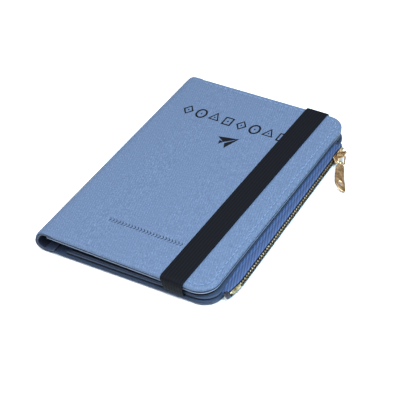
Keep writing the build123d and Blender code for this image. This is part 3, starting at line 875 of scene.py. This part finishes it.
def chain_x(y):
    return FOOT_END.x + SKEW_SLOPE * (y - FOOT_END.y) + bow(y)


def zip_point(n, a, y):
    """A point at distances n out from the chain's centre and a across it, at y along it."""
    p = CHAIN_N * n + CHAIN_A * a
    return Vector((chain_x(y) + p.x, y, FOOT_END.z + p.z))


def tooth_shape():
    """One tooth with softened edges, its tip past the centre line, in n, a and along the chain."""
    bm = bmesh.new()
    right = [(0.3, -0.3), (0.62, 0.05), (0.75, 0.45), (0.75, 0.85)]
    outline = right + [(-n, a) for n, a in right[::-1]]
    low = [bm.verts.new((n * MM, a * MM, -TOOTH_HALF)) for n, a in outline]
    high = [bm.verts.new((n * MM, a * MM, TOOTH_HALF)) for n, a in outline]
    bm.faces.new(low[::-1])
    bm.faces.new(high)
    for k in range(len(outline)):
        n = (k + 1) % len(outline)
        bm.faces.new([low[k], low[n], high[n], high[k]])
    bmesh.ops.bevel(bm, geom=bm.edges[:], offset=0.1 * MM, segments=2, profile=0.6, affect="EDGES")
    verts = [v.co.copy() for v in bm.verts]
    faces = [[v.index for v in f.verts] for f in bm.faces]
    bm.free()
    return verts, faces


def teeth_row(name, side, y_low, y_high):
    shape_verts, shape_faces = tooth_shape()
    verts, faces = [], []
    y = TEETH_Y[0] + (TOOTH_PITCH / 2 if side < 0 else 0)
    while y < TEETH_Y[1]:
        if y_low <= y < y_high:
            base = len(verts)
            for v in shape_verts:
                verts.append(zip_point(v.x, side * v.y, y + v.z))
            faces += [[base + k for k in f] for f in shape_faces]
        y += TOOTH_PITCH
    # The lower row takes the darker tooth gold, a painted shade.
    piece = make(name, verts, faces, [TEETH_GOLD if side > 0 else TEETH_PAINTED_SHADE])
    return piece


def ribbon(name, line, y_stations, materials, bead=None, caps=(True, True)):
    """A tape: line(y) gives its section's points in X and Z, and bead its thickening along them. With a bead,
    faces along the beaded edge take the second material, a painted shade.
    """
    verts, faces, mats = [], [], []
    count = len(line(0.0))
    for y in y_stations:
        points = line(y)
        for side in (1, -1):
            for i in range(count):
                along = heading(points, i)
                normal = Vector((-along.y, along.x))
                t = TAPE_THICK / 2 * (bead(i / (count - 1)) if bead else 1.0)
                p = points[i] + normal * (side * t)
                verts.append(Vector((p.x, y, p.y)))
    ring = 2 * count
    order = list(range(count)) + list(range(2 * count - 1, count - 1, -1))
    for j in range(len(y_stations) - 1):
        for k in range(ring):
            a, b = order[k], order[(k + 1) % ring]
            faces.append([j * ring + a, j * ring + b, (j + 1) * ring + b, (j + 1) * ring + a])
            # Faces on the beaded edge take the painted shade material.
            in_bead_shade = bead and min(a % count, b % count) >= BEAD_SHADE_FROM * (count - 1)
            mats.append(1 if in_bead_shade else 0)
    for closed, j in zip(caps, (0, len(y_stations) - 1)):
        if closed:
            faces.append([j * ring + k for k in order])
            mats.append(0)
    piece = make(name, verts, faces, materials, mats)
    return piece


def flat_xz(p):
    return Vector((p.x, p.z))


def upper_tape_line(y):
    edge = flat_xz(zip_point(0, 1.0 * MM, y))
    turn = flat_xz(zip_point(0, 1.6 * MM, y))
    shift = chain_x(y) - chain_x(0)
    crest = Vector((50.2 * MM + 0.6 * shift, FOLD_Z + 0.7 * MM))
    return catmull([Vector((FOLD_X, FOLD_Z)), crest, turn, edge], 6)


def lower_tape_line(y):
    edge = flat_xz(zip_point(0, -1.0 * MM, y))
    turn = flat_xz(zip_point(0, -1.28 * MM, y))
    shift = chain_x(y) - chain_x(0)
    root_z = BACK_LINING[1].z + TAPE_THICK / 2
    dips = [(49.4, root_z / MM), (50.7, 1.45), (52.2, 0.95)]
    points = [Vector((TAPE_INNER_X, root_z))] + [Vector((x * MM + 0.8 * shift, z * MM)) for x, z in dips]
    return catmull(points + [turn, edge], 5)


def beaded(u):
    """The tape thickens to a cord at the edge that the teeth grip."""
    return 1.0 + 0.25 * smoothstep((u - 0.72) / 0.2)


def zipper():
    """Both tapes and both rows of teeth. The upper ones are made in two halves, foot and head."""
    foot, head = -60.5 * MM, 56.5 * MM
    halves = (
        ("foot", foot, 0.0, (True, False), -40 * MM, -26 * MM),
        ("head", 0.0, head, (False, True), 54 * MM, 18 * MM),
    )
    tapes = [
        ribbon(f"zip_tape_upper_{end}", upper_tape_line, spread(low, high, 44), [TAPE, BEAD_PAINTED_SHADE], beaded, caps)
        for end, low, high, caps, _, _ in halves
    ]
    teeth = [teeth_row(f"zip_teeth_upper_{end}", 1, low, high) for end, low, high, _, _, _ in halves]
    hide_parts("zip_tape_upper")
    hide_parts("zip_teeth_upper")
    for row in (tapes, teeth):
        for piece, (_, _, _, _, fixed, free) in zip(row, halves):
            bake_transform(piece)
    root = ribbon(
        "zip_tape_sewn", lambda y: [Vector((x, FOLD_Z)) for x in spread(TAPE_INNER_X, FOLD_X, 5)],
        spread(foot, head, 60), [TAPE],
    )
    lower = ribbon("zip_tape_under", lower_tape_line, spread(foot, head, 88), [TAPE, BEAD_PAINTED_SHADE], beaded)
    lower_teeth = teeth_row("zip_teeth_under", -1, foot, head)
    for piece, node in ((root, "zip_tape_root"), (lower, "zip_tape_lower"), (lower_teeth, "zip_teeth_lower")):
        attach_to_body(piece, "back_cover")
        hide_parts(node)


SAME_POINT = 0.002 * MM


def bevelled_copy(name, node, width, segments, material, body, slot, shift):
    """A CAD piece with its edges rounded, moved in X by shift(y) if there is one."""
    source = frame["nodes"][node]
    obj = bpy.data.objects.new(name, source.data.copy())
    bpy.context.scene.collection.objects.link(obj)
    bm = bmesh.new()
    bm.from_mesh(obj.data)
    bmesh.ops.remove_doubles(bm, verts=bm.verts[:], dist=SAME_POINT)
    bmesh.ops.dissolve_limit(bm, angle_limit=radians(2), verts=bm.verts[:], edges=bm.edges[:])
    if shift:
        for v in bm.verts:
            v.co.x += shift(v.co.y)
    bm.to_mesh(obj.data)
    bm.free()
    bevel = obj.modifiers.new("round", "BEVEL")
    bevel.width = width
    bevel.segments = segments
    bevel.limit_method = "ANGLE"
    bevel.angle_limit = radians(32)
    bevel.harden_normals = False
    obj = convert(obj)
    obj.data.materials.clear()
    obj.data.materials.append(material)
    attach(obj, body, slot, node)


# ---- pull

def joint(name):
    return next(j for j in frame["joints"] if j["name"] == name)


LINK_AT = Vector(joint("pull_swing")["pos_m"])
TAB_AT = Vector(joint("pull_tab_swing")["pos_m"])
PULL_ALONG = (TAB_AT - LINK_AT).normalized()
PULL_ACROSS = -Vector(joint("pull_tab_swing")["axis"]).normalized()
PULL_UP = PULL_ALONG.cross(PULL_ACROSS).normalized()
PULL_FRAME = Matrix((PULL_ALONG, PULL_ACROSS, PULL_UP)).transposed().to_4x4()
PULL_FRAME.translation = LINK_AT
LINK_LENGTH = (TAB_AT - LINK_AT).length


def pull_link():
    """Round wire bent to a closed link."""
    half, bend, wire = 2.05 * MM, 1.0 * MM, 0.42 * MM
    route = []
    corners = [(LINK_LENGTH - bend, half - bend, 0), (bend, half - bend, 90),
               (bend, -half + bend, 180), (LINK_LENGTH - bend, -half + bend, 270)]
    for cx, cy, start in corners:
        for k in range(9):
            a = radians(start + 90 * k / 8)
            route.append(Vector((cx + bend * cos(a), cy + bend * sin(a), 0)))
    verts = []
    around = 14
    for i, p in enumerate(route):
        along = (route[(i + 1) % len(route)] - route[i - 1]).normalized()
        side = Vector((along.y, -along.x, 0))
        for k in range(around):
            a = 2 * pi * k / around
            verts.append(PULL_FRAME @ (p + side * (wire * cos(a)) + Vector((0, 0, wire * sin(a)))))
    piece = make("pull_wire", verts, ring_faces(0, len(route), around, closed=True), [GOLD])
    attach(piece, "pull_link", "slider_metal", "pull_link")


def outline_points():
    """The tab's outline, in mm along and across the pull."""
    left = [(8.9, -2.3), (15.7, -2.4), (20.5, -1.8), (23.7, 0.4), (24.8, 2.9)]
    right = [(24.2, 3.6), (19.2, 3.1), (13.8, 2.2), (8.9, 2.1), (6.9, 0.9)]
    return catmull(left, 8) + catmull(right, 8) + [Vector((6.9, -0.9)), Vector((7.8, -1.75))]


def pull_tab():
    """Leaf-shaped tab with rounded edges and an almond hole."""
    curve = bpy.data.curves.new("pull_leaf", "CURVE")
    curve.dimensions = "2D"
    curve.fill_mode = "BOTH"
    curve.extrude = 0.27 * MM
    curve.bevel_depth = 0.18 * MM
    curve.bevel_resolution = 3
    curve.offset = -0.18 * MM
    hole = []
    low, high = Vector((18.4, -0.6)), Vector((21.6, 1.9))
    along, side = (high - low), Vector((-(high - low).y, (high - low).x)).normalized()
    for k in range(24):
        t = k / 24 * 2
        u, sign = (t, 1) if t < 1 else (2 - t, -1)
        hole.append(low + along * u + side * (sign * 0.95 * sin(pi * u)))
    for points in (outline_points(), hole):
        spline = curve.splines.new("POLY")
        spline.points.add(len(points) - 1)
        for point, p in zip(spline.points, points):
            point.co = (p.x * MM, p.y * MM, 0, 1)
        spline.use_cyclic_u = True
    obj = bpy.data.objects.new("pull_leaf", curve)
    bpy.context.scene.collection.objects.link(obj)
    bpy.context.view_layer.update()
    leaf = convert(obj)
    leaf.data.transform(PULL_FRAME)
    leaf.data.materials.clear()
    leaf.data.materials.append(GOLD)
    attach(leaf, "pull_tab", "slider_metal", "pull_tab")


def barrel():
    """The tab's rolled end round the link's wire, with softened rims and its bore."""
    outer, bore, half, soft = 1.0 * MM, 0.5 * MM, 0.9 * MM, 0.14 * MM
    section = [(bore, -half), (outer - soft, -half), (outer, -half + soft), (outer, half - soft),
               (outer - soft, half), (bore, half)]
    verts = []
    around = 28
    for k in range(around):
        a = 2 * pi * k / around
        for r, y in section:
            verts.append(PULL_FRAME @ Vector((LINK_LENGTH + r * cos(a), y, r * sin(a))))
    piece = make("pull_barrel", verts, ring_faces(0, around, len(section), closed=True), [GOLD])
    attach(piece, "pull_tab", "slider_metal")


# ---- printed marks, all plain shapes

PRINT_HEIGHT = 0.05 * MM


def on_cover(x, y, h):
    """A point h above the front cover's face, x and y as seen on the closed cover."""
    run = (x - ROLL_X) / cos(TILT)
    p = front_place(FRONT_ARC + run, y, 0)
    return p + Vector((sin(TILT), 0, cos(TILT))) * h


def printed(name, shapes):
    """Flat inked shapes. Each is a list of (x, y) corners in mm on the cover."""
    verts, faces = [], []
    for shape in shapes:
        count = len(shape)
        base = len(verts)
        for h in (-0.1 * MM, PRINT_HEIGHT):
            for x, y in shape:
                verts.append(on_cover(x * MM, y * MM, h))
        faces += [[base + count + k for k in range(count)], [base + k for k in range(count)][::-1]]
        faces += ring_faces(base, 2, count)
    attach(make(name, verts, faces, [INK], smooth=False), "front_cover", "cover_leather")


def ring_shape(cx, cy, rx, ry, line, sides, turn):
    """A closed outline of a given line width, as separate four-sided cells."""
    def corner(k, inward):
        a = 2 * pi * k / sides + turn
        return cx + (rx - inward) * cos(a), cy + (ry - inward) * sin(a)

    return [[corner(k, 0), corner(k + 1, 0), corner(k + 1, line), corner(k, line)] for k in range(sides)]


def motif_row():
    """A row of eight plain geometric motifs across the head of the cover."""
    y, shapes = 42.5, []
    kinds = (
        (3.0, 3.9, 1.05, 4, 0.0), (3.1, 3.9, 1.05, 28, 0.0),
        (3.6, 4.3, 1.05 * 1.25, 3, pi / 2), (3.6, 4.6, 1.05 * 1.1, 4, pi / 4),
    )
    for k, x in enumerate(spread(-30.5, 24.5, 8)):
        shapes += ring_shape(x, y, *kinds[k % 4])
        shapes.append([(x - 0.5, y), (x, y - 0.7), (x + 0.5, y), (x, y + 0.7)])
    printed("print_motif_row", shapes)


def emblem():
    """A folded paper dart seen from above."""
    nose, tail_left, tail_right = (5.6, 31.9), (-5.2, 29.6), (1.9, 22.4)
    keel = (-0.6, 26.6)
    notch = (-2.4, 24.2)
    right_keel, left_keel = (0.3, 26.1), (-3.0, 27.3)
    printed("print_emblem", [
        [nose, tail_left, keel], [nose, right_keel, tail_right], [keel, left_keel, notch],
    ])


def chevron_row():
    """A fine row of small chevrons near the foot of the cover."""
    shapes = []
    for x in spread(-19.2, 20.2, 24):
        y = -47.8
        for sign in (1, -1):
            shapes.append([
                (x - 0.55, y + sign * 1.15), (x - 0.2, y + sign * 1.15), (x + 0.55, y), (x + 0.15, y),
            ][::sign])
    printed("print_chevron_row", shapes)


# ---- CAD pieces that stay

def finish_cad(node, material):
    """Gives a CAD piece its material and leaves its mesh as it is."""
    mesh = frame["nodes"][node].data
    mesh.materials.clear()
    mesh.materials.append(material)


# ---- stage

FLOOR_SIZE, FLOOR_GAP = 6.0, 0.2 * MM


def floor_and_light():
    bpy.ops.mesh.primitive_grid_add(
        x_subdivisions=8, y_subdivisions=8, size=FLOOR_SIZE, location=(0, 0, -FLOOR_GAP),
    )
    floor = bpy.context.object
    floor.name = "studio_floor"
    m = Nodes("studio_white", 0.9, specular=0.1)
    grey, white = (0.93, 0.93, 0.94, 1), (0.96, 0.96, 0.96, 1)
    m.into("Base Color", m.ramp(m.noise(0.004, 2), (0.3, grey), (0.7, white)))
    floor.data.materials.append(m.material)
    world = bpy.data.worlds.new("studio")
    bpy.context.scene.world = world
    world.use_nodes = True
    tree = world.node_tree
    background = tree.nodes["Background"]
    background.inputs["Strength"].default_value = 1.0
    split = tree.nodes.new("ShaderNodeSeparateXYZ")
    ramp = tree.nodes.new("ShaderNodeValToRGB")
    tree.links.new(tree.nodes.new("ShaderNodeTexCoord").outputs["Generated"], split.inputs["Vector"])
    tree.links.new(split.outputs["Z"], ramp.inputs["Fac"])
    tree.links.new(ramp.outputs["Color"], background.inputs["Color"])
    elements = ramp.color_ramp.elements
    elements.new(0.3)
    elements.new(0.62)
    for element, (height, level) in zip(elements, ((0.0, 0.03), (0.3, 0.1), (0.62, 1.0), (1.0, 1.5))):
        element.position = height
        element.color = (level * 0.96, level * 0.96, level, 1)
    for name, place, aim, size, power in (
        ("key", (-0.3, -0.2, 0.75), (0, 0, 0), 0.5, 2.0),
        ("window", (0.27, -0.08, 0.42), (0.05, 0, 0), 0.2, 3.6),
        ("front", (0.1, -0.36, 0.5), (0.02, -0.06, 0), 0.3, 1.5),
    ):
        light = bpy.data.lights.new(name, "AREA")
        light.size = size
        light.energy = power
        light.color = (0.6, 0.85, 1.0) if name == "window" else (0.9, 0.95, 1.0)
        lamp = bpy.data.objects.new(name, light)
        lamp.location = place
        direction = Vector(aim) - Vector(place)
        lamp.rotation_euler = direction.to_track_quat("-Z", "Y").to_euler()
        bpy.context.scene.collection.objects.link(lamp)


def camera():
    """Three-quarter view from the foot and fore side, slightly rolled."""
    azimuth, elevation, roll = radians(35.264), radians(38.663), radians(-6.975)
    distance = 0.62109
    back = Vector((sin(azimuth) * cos(elevation), -cos(azimuth) * cos(elevation), sin(elevation)))
    level = Vector((cos(azimuth), sin(azimuth), 0))
    rise = back.cross(level)
    right = level * cos(roll) + rise * sin(roll)
    up = rise * cos(roll) - level * sin(roll)
    data = bpy.data.cameras.new("camera")
    data.sensor_width = 36
    data.lens = 113.58
    data.shift_x = 0.0051
    data.shift_y = -0.0455
    data.clip_start = 0.01
    obj = bpy.data.objects.new("camera", data)
    matrix = Matrix((right, up, back)).transposed().to_4x4()
    matrix.translation = Vector((0, 0, 5 * MM)) + back * distance
    obj.matrix_world = matrix
    bpy.context.scene.collection.objects.link(obj)
    bpy.context.scene.camera = obj
    bpy.context.scene.view_settings.view_transform = "Standard"


# ---- everything

outer_leather()
lined_roll()
inner_layers()
sleeve()
cover_stitches()
elastic_band()
zipper()
for piece_name, cad_node, radius_mm, *settings in (
    ("zip_stop_foot", "zip_bottom_stop", 0.12, 2, STOP_METAL, "back_cover", "zip_metal", bow),
    ("zip_stop_head_under", "zip_top_stop_lower", 0.08, 2, STOP_METAL, "back_cover", "zip_metal", bow),
    ("zip_stop_head_upper", "zip_top_stop_upper", 0.08, 2, STOP_METAL, "upper_chain", "zip_metal", bow),
    # The tape end film is near black as painted shade.
    ("zip_end_film", "zip_tape_end", 0.12, 3, FILM_PAINTED_SHADE, "back_cover", "tape_film", bow),
    ("slider_plates", "slider_body", 0.2, 3, GOLD, "zip_slider", "slider_metal", None),
    ("slider_arch", "slider_bridge", 0.22, 3, GOLD, "zip_slider", "slider_metal", None),
):
    bevelled_copy(piece_name, cad_node, radius_mm * MM, *settings)
pull_link()
pull_tab()
barrel()
motif_row()
emblem()
chevron_row()
for cad_node, cad_material in (
    ("back_board", BOARD), ("front_board", BOARD), ("front_interlining", CLOTH), ("pocket_gusset", CLOTH),
):
    finish_cad(cad_node, cad_material)
floor_and_light()
camera()
